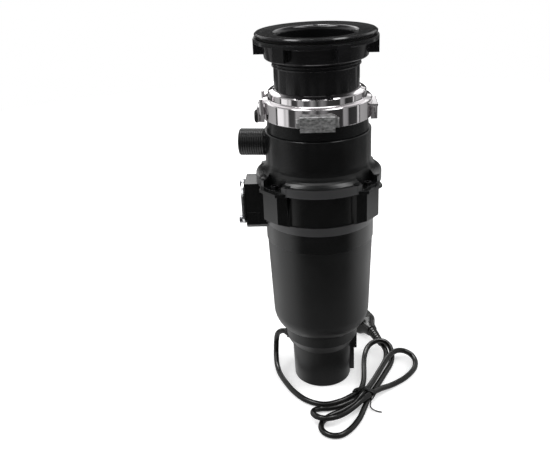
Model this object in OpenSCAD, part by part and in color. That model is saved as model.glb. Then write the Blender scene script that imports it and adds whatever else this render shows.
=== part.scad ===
// Kitchen garbage disposal, standing on its motor tail.
// Millimetres, +Z up, the rotor axis is the Z axis and the floor is z = 0.
// The discharge outlet points along -X and the viewer stands on the -Y side.

/* [Sink mount] */
// Radius of the sink flange disc
flange_r = 59.5; // [56:0.5:64]
// Thickness of the sink flange disc
flange_t = 3; // [2:0.5:4]
// Crest radius of the sink flange thread
thread_r = 44; // [43:0.5:45]
// Distance between thread crests
thread_pitch = 3; // [2.5:0.5:5]
// Radius of the open throat through the sink flange
throat_r = 38.5; // [35:0.5:39]
// Radius of the smooth neck under the thread
neck_r = 42.4; // [41.5:0.1:42.8]
// Length of the smooth neck seen between the thread and the locking ring
neck_h = 23.5; // [20:0.5:30]
// Length of the threaded part of the neck
thread_h = 30; // [26:0.5:34]
// Thickness of the rubber gasket under the flange
gasket_t = 2; // [1:0.5:4]
// Thickness of the slip washer under the gasket
washer_t = 1; // [0.8:0.2:2]
// Height of the mounting nut
nut_h = 19; // [15:1:21]
// Radius of the mounting nut body
nut_body_r = 51; // [48:1:53]
// Radius of the mounting nut flange and its grip lugs
nut_lug_r = 61; // [58:1:64]
// Number of grip lugs on the mounting nut
nut_lugs = 6; // [3:1:8]

/* [Locking ring] */
// Radius of the upper band of the locking ring
ring_top_r = 49; // [48.5:0.5:51]
// Radius of the lower band of the locking ring
ring_low_r = 54.7; // [54.5:0.1:56]
// Height of the upper band
ring_top_h = 8.5; // [6:0.5:12]
// Height of the lower band
ring_low_h = 18; // [14:0.5:20]
// Sheet thickness of the locking ring
ring_wall = 1.5; // [1:0.1:1.8]
// Number of brackets round the locking ring
ring_lugs = 4; // [3:1:4]
// Width of a bracket
lug_w = 33; // [24:1:36]
// Height of a bracket
lug_h = 15; // [12:1:16]
// Distance from the lower band to the face of a bracket
lug_reach = 4.2; // [3.6:0.2:5]

/* [Grinding chamber] */
// Outer radius of the grinding chamber
chamber_r = 54.3; // [54:0.1:55]
// Inner radius of the grinding chamber
chamber_bore_r = 50; // [49:0.2:51]
// Height of the straight chamber wall
chamber_h = 31; // [29:1:40]
// Height of the flare between the chamber wall and the joint band
flare_h = 14; // [12:1:18]
// Radius of the joint band
band_r = 65; // [63:0.5:67]
// Height of the joint band
band_h = 9; // [7:0.5:12]
// Height of the tapered collar over the chamber
collar_h = 11.5; // [10:0.5:14]
// Outer radius of the dishwasher inlet
inlet_r = 14.2; // [12:0.2:15]
// Bore radius of the dishwasher inlet
inlet_bore_r = 10; // [8:0.5:11]
// Distance from the rotor axis to the end of the inlet
inlet_reach = 81; // [76:1:92]
// Direction of the inlet, in degrees round the axis
inlet_az = 174; // [165:1:190]

/* [Waste housing] */
// Wall radius of the waste housing
waste_r = 56; // [55:0.5:57]
// Bore radius of the waste housing
waste_bore_r = 50; // [49:0.5:51]
// Height of the waste housing wall
waste_h = 34; // [34:1:44]
// Radius of the ledge round the foot of the waste housing
ledge_r = 57.6; // [57.2:0.1:59]
// Height of the ledge
ledge_h = 9; // [8:0.5:12]
// Height of the skirt that covers the motor shell's rim
skirt_h = 20; // [16:1:26]
// Angle of the screw ears away from the X axis
ear_angle = 40.5; // [38:0.5:44]
// Distance from the rotor axis to a joint screw
ear_screw_r = 60.6; // [60.4:0.1:61.4]
// Distance from a joint screw to the end of its ear
ear_edge = 10; // [9:0.5:12]
// Width of the discharge box
outlet_w = 32; // [30:1:36]
// Distance from the rotor axis to the face of the discharge box
outlet_reach = 77; // [74:1:86]
// Radius of the rounded ends of the discharge port
port_r = 11; // [9:0.5:11]
// Radius of the discharge plate
plate_r = 23.5; // [23:0.5:25]
// Thickness of the discharge plate
plate_t = 2.2; // [1.5:0.1:3]

/* [Motor] */
// Radius of the motor shell where it meets the waste housing
shell_top_r = 56.2; // [55.8:0.1:56.6]
// Radius of the motor shell where its dome begins
shell_low_r = 53; // [52.6:0.1:54]
// Height of the tapered motor shell wall
shell_h = 88; // [86:1:104]
// Wall thickness of the plastic shells
wall = 2.4; // [1.8:0.1:2.8]
// Height of the rounded dome under the shell wall
dome_h = 23; // [22:1:26]
// Radius of the motor shaft
shaft_r = 6; // [5:0.5:7]
// Thickness of a magnet
magnet_t = 9.3; // [8:0.1:11]
// Height of the armature core
armature_h = 46; // [36:1:48]
// Thickness of the sound sleeve
sleeve_t = 4; // [3:0.5:6]

/* [Grinding parts] */
// Radius of the turntable
turntable_r = 46.4; // [44:0.2:46.6]
// Thickness of the turntable
turntable_t = 2.5; // [2:0.5:4]
// Distance from the rotor axis to an impeller pivot
pivot_r = 33; // [30:1:34]
// Height of the shredder ring
shredder_h = 30; // [26:1:34]
// Number of teeth round the shredder ring
shredder_teeth = 24; // [12:2:32]
// Number of slits in the splash guard
guard_slits = 8; // [6:1:12]

/* [Tail] */
// Radius of the tail at the floor
tail_foot_r = 32.3; // [32:0.1:34]
// Radius of the tail under its collar
tail_neck_r = 33.6; // [33.2:0.1:35]
// Radius of the tail's collar
tail_collar_r = 40; // [39.6:0.1:41]
// Height of the straight tail
tail_h = 46; // [46:1:60]
// Height of the cone between the tail and its collar
tail_cone_h = 11; // [9:1:14]
// Height of the tail's collar
tail_collar_h = 12; // [10:1:16]
// Thickness of the base cover
base_t = 4; // [3:0.5:5]
// Radius of the overload reset button
button_r = 4.5; // [3.5:0.5:6]
// Travel of the overload reset button
button_travel = 2; // [1:0.5:2.5]

/* [Power cord] */
// Diameter of the power cord
cord_d = 6.2; // [5.6:0.1:6.6]
// Direction of the cord's exit, in degrees round the axis
cord_az = 155; // [145:1:165]
// Height of the cord's exit
cord_z = 42; // [40:0.5:44]
// Length of the cord relief outside its boss
relief_l = 7; // [6:0.5:9]

/* [Hidden] */
$fn = 96;
run_clear = 0.05;    // a shaft in its bearing
fit = 0.3;           // between curved faces of two pieces
seat = 0.2;          // a piece in its pocket
eps = 0.01;

// Levels from the floor to the top, each built on the one under it.
tail_cone_z = tail_h;
tail_collar_z = tail_cone_z + tail_cone_h;
dome_z = tail_collar_z + tail_collar_h;
shell_z = dome_z + dome_h;
skirt_z = shell_z + shell_h;
ledge_z = skirt_z + skirt_h;
floor_z = ledge_z;
waste_z = ledge_z + ledge_h;
joint_z = waste_z + waste_h;
flare_z = joint_z + band_h;
chamber_z = flare_z + flare_h;
collar_z = chamber_z + chamber_h;
ring_z = collar_z + collar_h + 2;
ring_step_z = ring_z + ring_low_h;
ring_top_z = ring_step_z + ring_top_h;
thread_z = ring_top_z + neck_h;
flange_z = thread_z + thread_h;
top_z = flange_z + flange_t;
gasket_z = flange_z - gasket_t;
washer_z = gasket_z - washer_t;
nut_z = washer_z - nut_h;

// Mount stack inside the locking ring.
guard_t = 4;
shoulder_r = ring_low_r - ring_wall - 0.6;
shoulder_z = ring_z + 2.2;
guard_z = ring_step_z - 2;
sleeve_z = guard_z + guard_t;
sleeve_lip_r = ring_top_r - ring_wall - 0.6;
lip_top_z = ring_top_z - 0.5;

// Brackets round the locking ring.
lug_face = ring_low_r + lug_reach;
lug_top_z = ring_step_z - 5.1;
lug_z = lug_top_z - lug_h;
clip_r = 2.3;

// Ears and joint screws.
ear_turn = 3;
ear_az = [for (a = [ear_angle, 180 - ear_angle, 180 + ear_angle, 360 - ear_angle]) a + ear_turn];
ear_reach = ear_screw_r + ear_edge;
ear_root = waste_bore_r + 2;
ear_pocket_r = chamber_r + 0.5;
ear_pocket_w = 27;
ear_post_r = 4.4;
ear_t = 3.2;
screw_r = 2;
screw_head_r = 4;
screw_head_h = 3.6;
screw_l = 22;

// Discharge outlet, on the -X side.
outlet_z = joint_z - 50.5;
outlet_mid_z = joint_z - 23;
plate_mid_z = outlet_mid_z - 2;
port_drop = 6;
gasket2_t = 1.5;
plate_face = outlet_reach + gasket2_t + plate_t;
plate_screw = [12.5, 15.5];
plate_screw_r = 1.6;
plate_head_r = 4;
plate_head_h = 3.6;

// Motor stack, hung from the floor of the waste housing.
floor_t = 6;
bracket_t = 6;
frame_top_z = floor_z - bracket_t;
frame_z = shell_z - 2;
frame_h = frame_top_z - frame_z;
bearing_r = 15.7;
bearing_h = 10;
bearing_drop = 6;    // the upper bearing under the frame's top
hub_r = 19;
frame_r = shell_low_r - wall - 2 * fit - sleeve_t;
frame_wall = 2.5;
magnet_clear = 1;
armature_r = frame_r - frame_wall - seat - magnet_t - magnet_clear;
winding_r = armature_r - 4;
winding_gap = 9;     // a winding head under the upper bearing
commutator_r = 12;
commutator_h = 11;
commutator_z = frame_z + 9;
winding_low_z = commutator_z + commutator_h + 1;
winding_h = (frame_top_z - bearing_drop - winding_gap - winding_low_z - armature_h) / 2;
winding_ease = min(4, winding_h / 2.75);
armature_z = winding_low_z + winding_h;
shaft_low_z = frame_z - 5;
lower_deck_z = frame_z + 3;
seal_h = 9;

// Arc of the shell's dome.
dome_drop = shell_low_r - tail_collar_r - 0.3;
dome_rad = (dome_h * dome_h + dome_drop * dome_drop) / (2 * dome_drop);
dome_a = asin(dome_h / dome_rad);

// Grinding stack.
turntable_z = joint_z + 6;
turntable_top = turntable_z + turntable_t;
hub_low_z = turntable_z - 14;
chamber_lip_r = chamber_bore_r - 2;
shredder_z = joint_z + 3;
shredder_r = chamber_bore_r - fit;
shredder_wall = 2.4;
rivet_r = 3;
rivet_head_r = 5;
impeller_az = [20, 200];
impeller_clear = 0.3;
impeller_t = 6;
cap_h = 8;

// Dishwasher inlet.
inlet_z = chamber_z + 15.3;
inlet_ribs = 11;
inlet_rib_step = 2.4;

// Tail pieces.
spigot_h = 6;
spigot_clear = 0.3;
button_at = [16, -8];
protector_z = base_t + 6;
cover_az = 4;
gland_r = 5.2;
boss_reach = 7;
relief_root = 27;
relief_tip = boss_reach + tail_neck_r + relief_l;

// Plug, with its axis just over the floor and its relief sloping down to the cord.
plug_at = [72.6, 42.8];
plug_az = 114;
plug_w = 27;
plug_t = 24;
plug_axis_z = plug_t / 2;
plug_tip_z = 7.8;
plug_neck = 24;
plug_l = 68;
blade_l = 16;
blade_w = 6.35;
blade_t = 1.5;
blade_pitch = 12.7;
pin_r = 2.4;
pin_l = 20;

// The cord's route from the relief to the plug, wound into a loose bow that a
// tie holds. It lies on the floor and passes over itself in low humps.
cord_end = [relief_tip * cos(cord_az), relief_tip * sin(cord_az), cord_z];
cord_path = concat([cord_end], [
    // Falls from the relief and runs in front of the tail to the tie.
    [-48.6, 22.7, 40.4], [-52.8, 24.6, 36], [-54.6, 24.8, 29], [-55.3, 21.5, 20.5],
    [-55.3, 14, 12.5], [-54, 3, 6.6], [-50.2, -10.5, 3.5], [-42, -29, 3.2], [-32, -46, 3.2],
    [-18, -61, 3.2], [0, -68, 3.2], [17, -63.6, 3.2], [30.6, -54.5, 3.2], [41, -43.8, 3.2],
    // Upper left loop, over the cord beside the plug's relief.
    [46, -29, 3.2], [48, -11, 3.2], [49, 7, 3.2], [50.8, 21, 5], [54.2, 31.6, 8.2],
    [60.4, 38, 11.6], [68.4, 39.8, 13.8], [76, 37, 14.4], [81.4, 31, 12], [83.4, 22.8, 7.8],
    [82.6, 13.8, 4.4], [79.2, 3.4, 3.2], [72.8, -10.6, 3.2], [65.2, -27, 3.2], [57, -43.4, 3.2],
    [50.2, -57, 3.2],
    // Lower loop.
    [44.6, -73, 3.2], [39, -89, 3.2], [32.6, -101.4, 3.2], [25.6, -111, 3.2], [17.4, -117.6, 3.2],
    [8.4, -118.4, 3.2], [0.6, -113.8, 3.2], [-2.8, -105.5, 3.2], [-0.8, -96.2, 3.2],
    [6.6, -87.6, 3.2], [19.6, -79.6, 3.6], [32.5, -70.2, 5.6], [40.4, -61.6, 8.8],
    // Upper right loop.
    [47, -53, 9.8], [55, -38.4, 9.6], [63.2, -20.2, 9.6], [71.4, -3, 10.3], [80.4, 12.6, 12],
    [88.5, 20.6, 12], [97.5, 23.8, 9.8], [105.6, 20.6, 7], [109.6, 12.4, 4.6], [108.6, 2, 3.2],
    [103, -9.6, 3.2], [92.6, -22.4, 3.2], [78, -34.6, 3.8], [63.6, -46.4, 7.2], [50.6, -60, 9.9],
    // Left lobe, folded back under itself.
    [41.2, -70.4, 9.8], [30.8, -81.5, 8.6], [20.5, -91, 8.4], [10.5, -97.6, 9.6], [1, -99.6, 10],
    [-6.6, -96.2, 9.4], [-11, -88.8, 7.6], [-9.8, -80.6, 5.2], [-3.2, -75.8, 3.6], [6, -74.6, 3.2],
    [17, -71.6, 3.2], [28, -65, 3.2], [38.4, -57.6, 3.2],
    // Back to the plug.
    [46, -48.4, 3.2], [53.8, -33, 3.2], [62.4, -15.6, 3.2], [70.4, 3, 3.2], [75.6, 17, 3.4],
    [77, 28.4, 5.2], [75.4, 36.6, 6.9]], [[plug_at[0], plug_at[1], plug_tip_z]]);

// The tie round the bundle: where it sits, the way the bundle runs, and the cord
// pieces at its corners, as distances across the bundle and heights.
tie_at = [47, -53.4];
tie_az = 57;
tie_w = 5;
tie_corners = [[11.7, 3.4], [-5, 3.4], [-7.8, 9.8], [0.5, 10.2]];
tie_tail = [[52, -63.5, 3], [51, -69, 1.4], [53, -74, 0.9], [57.5, -77.6, 0.9], [63, -79.5, 0.9]];

// ---- shared shapes ----

module turned(points) { rotate_extrude() polygon(points); }

module disc(r, h, z) { translate([0, 0, z]) cylinder(r = r, h = h); }

module annulus(r_out, r_in, h, z) {
    translate([0, 0, z]) difference() {
        cylinder(r = r_out, h = h);
        translate([0, 0, -1]) cylinder(r = r_in, h = h + 2);
    }
}

module around(az) { rotate([0, 0, az]) children(); }

// A plate across a radius: x from x0 to x1, width w, z from z0 up by h.
module radial_block(x0, x1, w, z0, h) {
    translate([x0, -w / 2, z0]) cube([x1 - x0, w, h]);
}

// Quarter round from (r, z) as points, centre (cr, cz), angles a0 to a1.
function arc(cr, cz, rad, a0, a1, n = 8) =
    [for (i = [0:n]) let (a = a0 + (a1 - a0) * i / n) [cr + rad * cos(a), cz + rad * sin(a)]];

// ---- sink mount ----

module sink_flange() {
    crests = floor((thread_h - 2) / thread_pitch);
    lip = 5;
    color("#1a1b1d") turned(concat(
        [[throat_r, sleeve_z], [sleeve_lip_r, sleeve_z], [sleeve_lip_r, lip_top_z - 1.4],
         [sleeve_lip_r - 1.2, lip_top_z], [neck_r, lip_top_z],
         [neck_r, thread_z]],
        [for (i = [0:crests - 1]) for (p = [[-1, 0.05], [0, 0.3], [0, 0.55], [-1, 0.8]])
            [thread_r + p[0], thread_z + (i + p[1]) * thread_pitch]],
        [[thread_r - 1, flange_z], [flange_r - 0.8, flange_z], [flange_r, flange_z + 0.8],
         [flange_r, top_z - 1.2], [flange_r - 1.4, top_z], [flange_r - 5, top_z - 0.3],
         [throat_r + lip + 2, top_z - 0.9]],
        arc(throat_r + lip, top_z - 1 - lip, lip, 90, 180)));
}

module flange_gasket() {
    color("#242528") annulus(flange_r - 3, thread_r + fit, gasket_t, gasket_z);
}

module slip_washer() {
    color("#2c2d2f") annulus(nut_lug_r - 0.4, thread_r + fit, washer_t, washer_z);
}

module mounting_nut() {
    flange = 3;
    color("#1d1e20") difference() {
        union() {
            turned([[thread_r + fit, nut_z], [nut_body_r - 1, nut_z], [nut_body_r, nut_z + 1],
                    [nut_body_r + 2, washer_z - flange - 2], [nut_lug_r, washer_z - flange],
                    [nut_lug_r, washer_z], [thread_r + fit, washer_z]]);
            for (i = [0:nut_lugs - 1]) around(-125 + i * 360 / nut_lugs)
                difference() {
                    radial_block(thread_r + 2, nut_lug_r, 13, nut_z + 3.5, nut_h - 4);
                    radial_block(nut_body_r + 1.5, nut_lug_r - 3, 8, nut_z, nut_h - 6);
                }
        }
        disc(thread_r + fit, nut_h + 2, nut_z - 1);
    }
}

module splash_guard() {
    rim_r = sleeve_lip_r;
    mouth_r = 12;
    color("#202123") difference() {
        turned([[throat_r - 3, guard_z], [rim_r, guard_z], [rim_r, sleeve_z], [throat_r - 2, sleeve_z],
                [throat_r - 4, sleeve_z - 2], [mouth_r, guard_z - 5], [mouth_r, guard_z - 7.5],
                [throat_r - 6, guard_z - 1]]);
        for (i = [0:guard_slits - 1]) around((i + 0.5) * 360 / guard_slits)
            radial_block(0, throat_r - 7, 1.2, guard_z - 12, 16);
    }
}

// ---- locking ring ----

module locking_ring() {
    w = ring_wall;
    lip_r = neck_r + fit;
    color("#d8dade") {
        turned([[lip_r, ring_top_z + 0.9], [lip_r, ring_top_z - w + 1],
            [ring_top_r - w - 0.8, ring_top_z - w + 1],
                [ring_top_r - w, ring_top_z - w], [ring_top_r - w, ring_step_z + w - 0.8],
                [ring_low_r - w, ring_step_z - w - 0.4], [ring_low_r - w, ring_z],
                [ring_low_r - 0.5, ring_z], [ring_low_r, ring_z + 0.5], [ring_low_r, ring_step_z - 0.4],
                [ring_low_r - 0.8, ring_step_z + 0.4], [ring_top_r + 0.6, ring_step_z + 0.9],
                [ring_top_r, ring_step_z + 1.6], [ring_top_r, ring_top_z - 1],
                [ring_top_r - 1, ring_top_z], [lip_r + 1, ring_top_z + 1.4]]);
        // Hooks under the collar's shoulder, one behind each bracket.
        for (i = [0:ring_lugs - 1]) around(-90 + i * 360 / ring_lugs)
            intersection() {
                annulus(ring_low_r - w + 0.3, shoulder_r - 1.6, 1.8, ring_z);
                radial_block(30, 60, 26, ring_z - 1, 4);
            }
    }
}

// A bracket of bent sheet on the lower band: a face plate with a rolled top, open
// behind at both ends, and a curled clip at each side.
module ring_bracket(az, clip_z, clip_h) {
    sheet = 1.3;
    around(az) difference() {
        union() {
            radial_block(ring_low_r - 6, lug_face, lug_w, lug_z, lug_h);
            translate([lug_face - 0.6, 0, lug_top_z - 1.4]) rotate([90, 0, 0])
                cylinder(r = 1.4, h = lug_w, center = true);
            for (s = [-1, 1]) translate([ring_low_r, s * (lug_w / 2 + clip_r - 1), clip_z])
                cylinder(r = clip_r, h = clip_h);
        }
        disc(ring_low_r + 0.05, 60, ring_z - 30);
        disc(ring_low_r - 5, 60, ring_z - 30);
        for (s = [-1, 1]) translate([ring_low_r + 0.8, s * lug_w / 2 - 9, lug_z + sheet])
            cube([lug_reach - 0.8 - sheet, 18, lug_h - 8]);
    }
}

module ring_bracket_front() { color("#9b9d9f") ring_bracket(-90, lug_z + 3.5, lug_h - 5.5); }

module ring_bracket_left() { color("#c9cbd0") ring_bracket(180, lug_z + 7.5, lug_h + 1); }

module ring_bracket_right() { color("#c9cbd0") ring_bracket(0, lug_z + 3.5, lug_h - 5.5); }

module ring_bracket_back() { color("#c9cbd0") ring_bracket(90, lug_z + 3.5, lug_h - 5.5); }

// Rubber bumper on the face of the left bracket.
module ring_bumper() {
    color("#18191a") around(180)
        translate([lug_face, lug_w / 2 - 5, lug_z + 5]) rotate([0, 90, 0]) {
            cylinder(r = 6.5, h = 2.6);
            translate([0, 0, 2.5]) cylinder(r1 = 6.2, r2 = 5, h = 1);
        }
}

module mounting_collar() {
    bore = throat_r - 1;
    color("#1c1d1f") turned([[bore, collar_z], [chamber_r - 2.8, collar_z],
        [chamber_r - 2.2, collar_z + 0.6],
                [shoulder_r - 1.9, ring_z - 1.6], [shoulder_r - 2.2, shoulder_z],
                [shoulder_r, shoulder_z + 0.4],
                [shoulder_r, guard_z - 2], [shoulder_r - 1, guard_z], [throat_r - 2.5, guard_z],
                [throat_r - 5.5, guard_z - 1.4], [throat_r - 5.5, guard_z - 3], [bore, guard_z - 12]]);
}

// ---- grinding chamber ----

// Outline of an ear plate, in the ear's own radial frame.
module ear_outline() {
    polygon([[ear_root, -24], [57, -23.5], [ear_reach, -11.8], [ear_reach, 11.8], [57, 23.5],
        [ear_root, 24]]);
}

// Outline of the column under an ear plate.
module column_outline() {
    polygon([[ear_root, -16.4], [58.5, -15.5], [ear_reach - 3.3, -10.6], [ear_reach - 3.3, 10.6],
             [58.5, 15.5], [ear_root, 16.4]]);
}

module at_inlet() { around(inlet_az) translate([0, 0, inlet_z]) rotate([0, 90, 0]) children(); }

// Band, flare and wall, with a pocket over each ear that opens outwards.
module chamber_shell() {
    difference() {
        turned(concat(
            [[chamber_lip_r, joint_z], [band_r - 0.6, joint_z], [band_r, joint_z + 0.6],
             [band_r, flare_z - 0.8]],
            arc(chamber_r + flare_h, chamber_z, flare_h, 256, 180),
            [[chamber_r, collar_z - 0.6], [chamber_r - 0.6, collar_z], [chamber_lip_r, collar_z]]));
        for (a = ear_az) around(a)
            radial_block(ear_pocket_r, 90, ear_pocket_w, joint_z + ear_t, band_h + flare_h);
    }
}

module grind_chamber() {
    color("#1b1c1e") difference() {
        union() {
            chamber_shell();
            for (a = ear_az) around(a) {
                translate([0, 0, joint_z]) linear_extrude(ear_t) ear_outline();
                // Round posts at the band's ends, beside the pocket.
                for (s = [-1, 1])
                    translate([band_r - ear_post_r - 2, s * (ear_pocket_w / 2 + ear_post_r - 1), joint_z])
                    cylinder(r = ear_post_r, h = band_h + 2);
            }
            // Inlet with its hose ribs.
            at_inlet() {
                translate([0, 0, chamber_bore_r + 1])
                    cylinder(r = inlet_r - 0.8, h = inlet_reach - chamber_bore_r - 1);
                for (i = [0:inlet_ribs - 1]) translate([0, 0, inlet_reach - 1.8 - i * inlet_rib_step])
                    cylinder(r1 = inlet_r, r2 = inlet_r - 0.7, h = 1.5);
            }
        }
        // Bore for the shredder ring, over a lip that carries it.
        translate([0, 0, shredder_z]) cylinder(r = chamber_bore_r, h = collar_z - shredder_z + 1);
        at_inlet() cylinder(r = inlet_bore_r, h = inlet_reach + 5);
        for (a = ear_az) around(a) translate([ear_screw_r, 0, joint_z - 1])
            cylinder(r = screw_r + seat, h = 20);
    }
}

module shredder_ring() {
    inner = shredder_r - shredder_wall;
    color("#b4b6b8") difference() {
        annulus(shredder_r, inner, shredder_h, shredder_z);
        at_inlet() cylinder(r = inlet_r + 1, h = 60);
        for (i = [0:shredder_teeth - 1]) around((i + 0.5) * 360 / shredder_teeth) {
            radial_block(inner - 1, shredder_r + 1, 3.4, shredder_z - 1, 8);
            if (i % 2 == 0) radial_block(inner - 1, shredder_r + 1, 6, shredder_z + 12, 4);
        }
    }
}

module turntable() {
    color("#a9abad") difference() {
        union() {
            disc(turntable_r, turntable_t, turntable_z);
            disc(12, turntable_z - hub_low_z, hub_low_z);
        }
        disc(shaft_r + run_clear, 40, hub_low_z - 1);
        for (a = impeller_az) around(a) translate([pivot_r, 0, turntable_z - 5])
            cylinder(r = rivet_r + run_clear, h = 20);
        for (i = [0:11]) around(i * 30 + 5) translate([turntable_r - 5, 0, turntable_z - 5])
            cylinder(r = 1.6, h = 20);
    }
}

module turntable_cap() {
    color("#8f9193") difference() {
        union() {
            translate([0, 0, turntable_top]) cylinder(r = 10, h = cap_h * 0.6, $fn = 6);
            disc(8, cap_h, turntable_top);
        }
        disc(shaft_r - 1.5 + run_clear, cap_h - 2, turntable_top - eps);
    }
}

module impeller_rivet(az) {
    color("#c4c6c8") around(az) translate([pivot_r, 0, 0]) {
        disc(rivet_head_r, 1.6, turntable_z - 1.6);
        disc(rivet_r, turntable_t + impeller_t + 2 * impeller_clear + 2, turntable_z - 1);
        disc(rivet_head_r, 1.8, turntable_top + impeller_t + 2 * impeller_clear);
    }
}

module impeller_rivet_a() { impeller_rivet(impeller_az[0]); }

module impeller_rivet_b() { impeller_rivet(impeller_az[1]); }

module impeller(az) {
    color("#9fa1a3") around(az) translate([pivot_r, 0, turntable_top + impeller_clear]) difference() {
        union() {
            cylinder(r = 6.2, h = impeller_t);
            translate([-3, -6.2, 0]) cube([13, 12.4, impeller_t]);
            translate([6.4, -6.2, 0]) cube([3.6, 12.4, impeller_t + 7]);
            intersection() {
                translate([0, -6.2, 0]) cube([20, 12.4, impeller_t]);
                cylinder(r = 11.8, h = impeller_t);
            }
        }
        translate([0, 0, -1]) cylinder(r = rivet_r + run_clear, h = impeller_t + 2);
    }
}

module impeller_a() { impeller(impeller_az[0]); }

module impeller_b() { impeller(impeller_az[1]); }

// ---- waste housing ----

module chamber_seal() {
    color("#3a3b3c") annulus(waste_bore_r + 4, waste_bore_r + 1.5, 1.6, joint_z - 1.6);
}

module outlet_slot(r, x0, x1) {
    translate([-x1, 0, outlet_mid_z]) rotate([0, 90, 0]) {
        for (s = [-1, 1]) translate([s * port_drop, 0, 0]) cylinder(r = r, h = x1 - x0);
        translate([-port_drop, -r, 0]) cube([2 * port_drop, 2 * r, x1 - x0]);
    }
}

module waste_housing() {
    bevel = 5;
    h = joint_z - outlet_z;
    color("#1b1c1e") difference() {
        union() {
            disc(waste_r, waste_h + ledge_h, ledge_z);
            disc(ledge_r, ledge_h, ledge_z);
            disc(ledge_r - 0.6, skirt_h + 1, skirt_z);
            // Screw ears run down the wall and draw in at the ledge.
            for (a = ear_az) around(a) intersection() {
                translate([0, 0, waste_z - 1]) linear_extrude(waste_h + 1) column_outline();
                turned([[0, waste_z - 1], [ledge_r - 0.4, waste_z - 1], [ear_reach + 8, waste_z + 9],
                        [ear_reach + 8, joint_z], [0, joint_z]]);
            }
            // Discharge box with bevelled lower edges and a raised rim.
            translate([-outlet_reach, 0, outlet_z]) rotate([90, 0, 90])
                linear_extrude(outlet_reach - waste_bore_r + 4) polygon([
                    [-outlet_w / 2 + bevel, 0], [outlet_w / 2 - bevel, 0], [outlet_w / 2, bevel],
                    [outlet_w / 2, h], [-outlet_w / 2, h], [-outlet_w / 2, bevel]]);
            translate([-outlet_reach + 1, -outlet_w / 2 - 0.8, outlet_z + bevel])
                cube([14, outlet_w + 1.6, 14]);
        }
        disc(waste_bore_r, waste_h + ledge_h, floor_z + floor_t);
        disc(shell_top_r - wall + fit, skirt_h + 1, skirt_z - 1);
        disc(hub_r - 4.5, 20, floor_z - 1);
        outlet_slot(port_r, waste_bore_r - 6, outlet_reach + 1);
        annulus(waste_bore_r + 4 + seat, waste_bore_r + 1.5 - seat, 3, joint_z - 1.6);
        for (a = ear_az) around(a) translate([ear_screw_r, 0, joint_z - screw_l + 1])
            cylinder(r = screw_r + seat, h = screw_l + 2);
        plate_screw_holes();
    }
}

// Holes for the two screws of the discharge plate.
module plate_screw_holes() {
    for (s = [-1, 1]) translate([-outlet_reach - 9, s * plate_screw[0], plate_mid_z + s * plate_screw[1]])
        rotate([0, 90, 0]) cylinder(r = plate_screw_r + seat, h = 20);
}

module plate_blank(x0, t, r, w) {
    translate([-x0 - t, 0, plate_mid_z]) rotate([0, 90, 0]) intersection() {
        cylinder(r = r, h = t);
        translate([-r, -w / 2, 0]) cube([2 * r, w, t]);
    }
}

module discharge_gasket() {
    color("#2a2b2c") difference() {
        plate_blank(outlet_reach, gasket2_t, plate_r - 0.5, outlet_w + 3);
        outlet_slot(port_r, outlet_reach - 1, outlet_reach + 5);
        plate_screw_holes();
    }
}

module discharge_plate() {
    color("#d5d6d8") difference() {
        plate_blank(outlet_reach + gasket2_t, plate_t, plate_r, outlet_w + 8);
        translate([-outlet_reach - 9, 0, outlet_mid_z]) rotate([0, 90, 0])
            cylinder(r = port_r + 5, h = 12);
        plate_screw_holes();
    }
}

module discharge_screw(s) {
    color("#55585c") translate([-plate_face, s * plate_screw[0], plate_mid_z + s * plate_screw[1]])
        rotate([0, 90, 0]) difference() {
            union() {
                translate([0, 0, -plate_head_h]) cylinder(r = plate_head_r, h = plate_head_h);
                translate([0, 0, -eps]) cylinder(r = plate_screw_r, h = 11);
            }
            translate([-5, -0.5, -plate_head_h - 0.5]) cube([10, 1, 1.6]);
        }
}

module discharge_screw_low() { discharge_screw(-1); }

module discharge_screw_high() { discharge_screw(1); }

module joint_screw(i) {
    z = joint_z + ear_t;
    color("#6d7074") around(ear_az[i]) translate([ear_screw_r, 0, 0]) difference() {
        union() {
            disc(5.4, 0.8, z);
            translate([0, 0, z + 0.7]) cylinder(r = screw_head_r, h = screw_head_h, $fn = 6);
            disc(screw_r, screw_l - 3, z - screw_l + 3 + eps);
        }
        translate([0, 0, z + screw_head_h - 1]) cylinder(r = 1.8, h = 3);
    }
}

module joint_screw_a() { joint_screw(0); }

module joint_screw_b() { joint_screw(1); }

module joint_screw_c() { joint_screw(2); }

module joint_screw_d() { joint_screw(3); }

// ---- motor ----

module shaft_seal() {
    color("#2f3032") turned([[shaft_r + run_clear, floor_z], [hub_r - 4.5 - seat, floor_z],
        [hub_r - 4.5 - seat, floor_z + floor_t - 0.5], [shaft_r + 4, floor_z + seal_h],
        [shaft_r + run_clear, floor_z + seal_h]]);
}

module upper_bracket() {
    low = frame_top_z - bearing_drop;
    color("#8a8c8f") turned([[bearing_r + seat, low], [hub_r, low], [hub_r, frame_top_z],
        [frame_r, frame_top_z], [frame_r, floor_z], [shaft_r + 3, floor_z],
        [shaft_r + 3, low + bearing_h], [bearing_r + seat, low + bearing_h]]);
}

module bearing(z, h) {
    color("#c0c2c4") turned([[shaft_r + run_clear, z], [shaft_r + 3, z], [shaft_r + 3, z + 0.6],
        [bearing_r - 3, z + 0.6], [bearing_r - 3, z], [bearing_r, z], [bearing_r, z + h],
        [bearing_r - 3, z + h], [bearing_r - 3, z + h - 0.6], [shaft_r + 3, z + h - 0.6],
        [shaft_r + 3, z + h], [shaft_r + run_clear, z + h]]);
}

module upper_bearing() { bearing(frame_top_z - bearing_drop, bearing_h); }

module lower_bearing() { bearing(frame_z - 3, bearing_h); }

module motor_shaft() {
    color("#b8babc") {
        disc(shaft_r, turntable_top - 0.5 - shaft_low_z, shaft_low_z);
        disc(shaft_r - 1.5, cap_h - 3, turntable_top - 1);
    }
}

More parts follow.
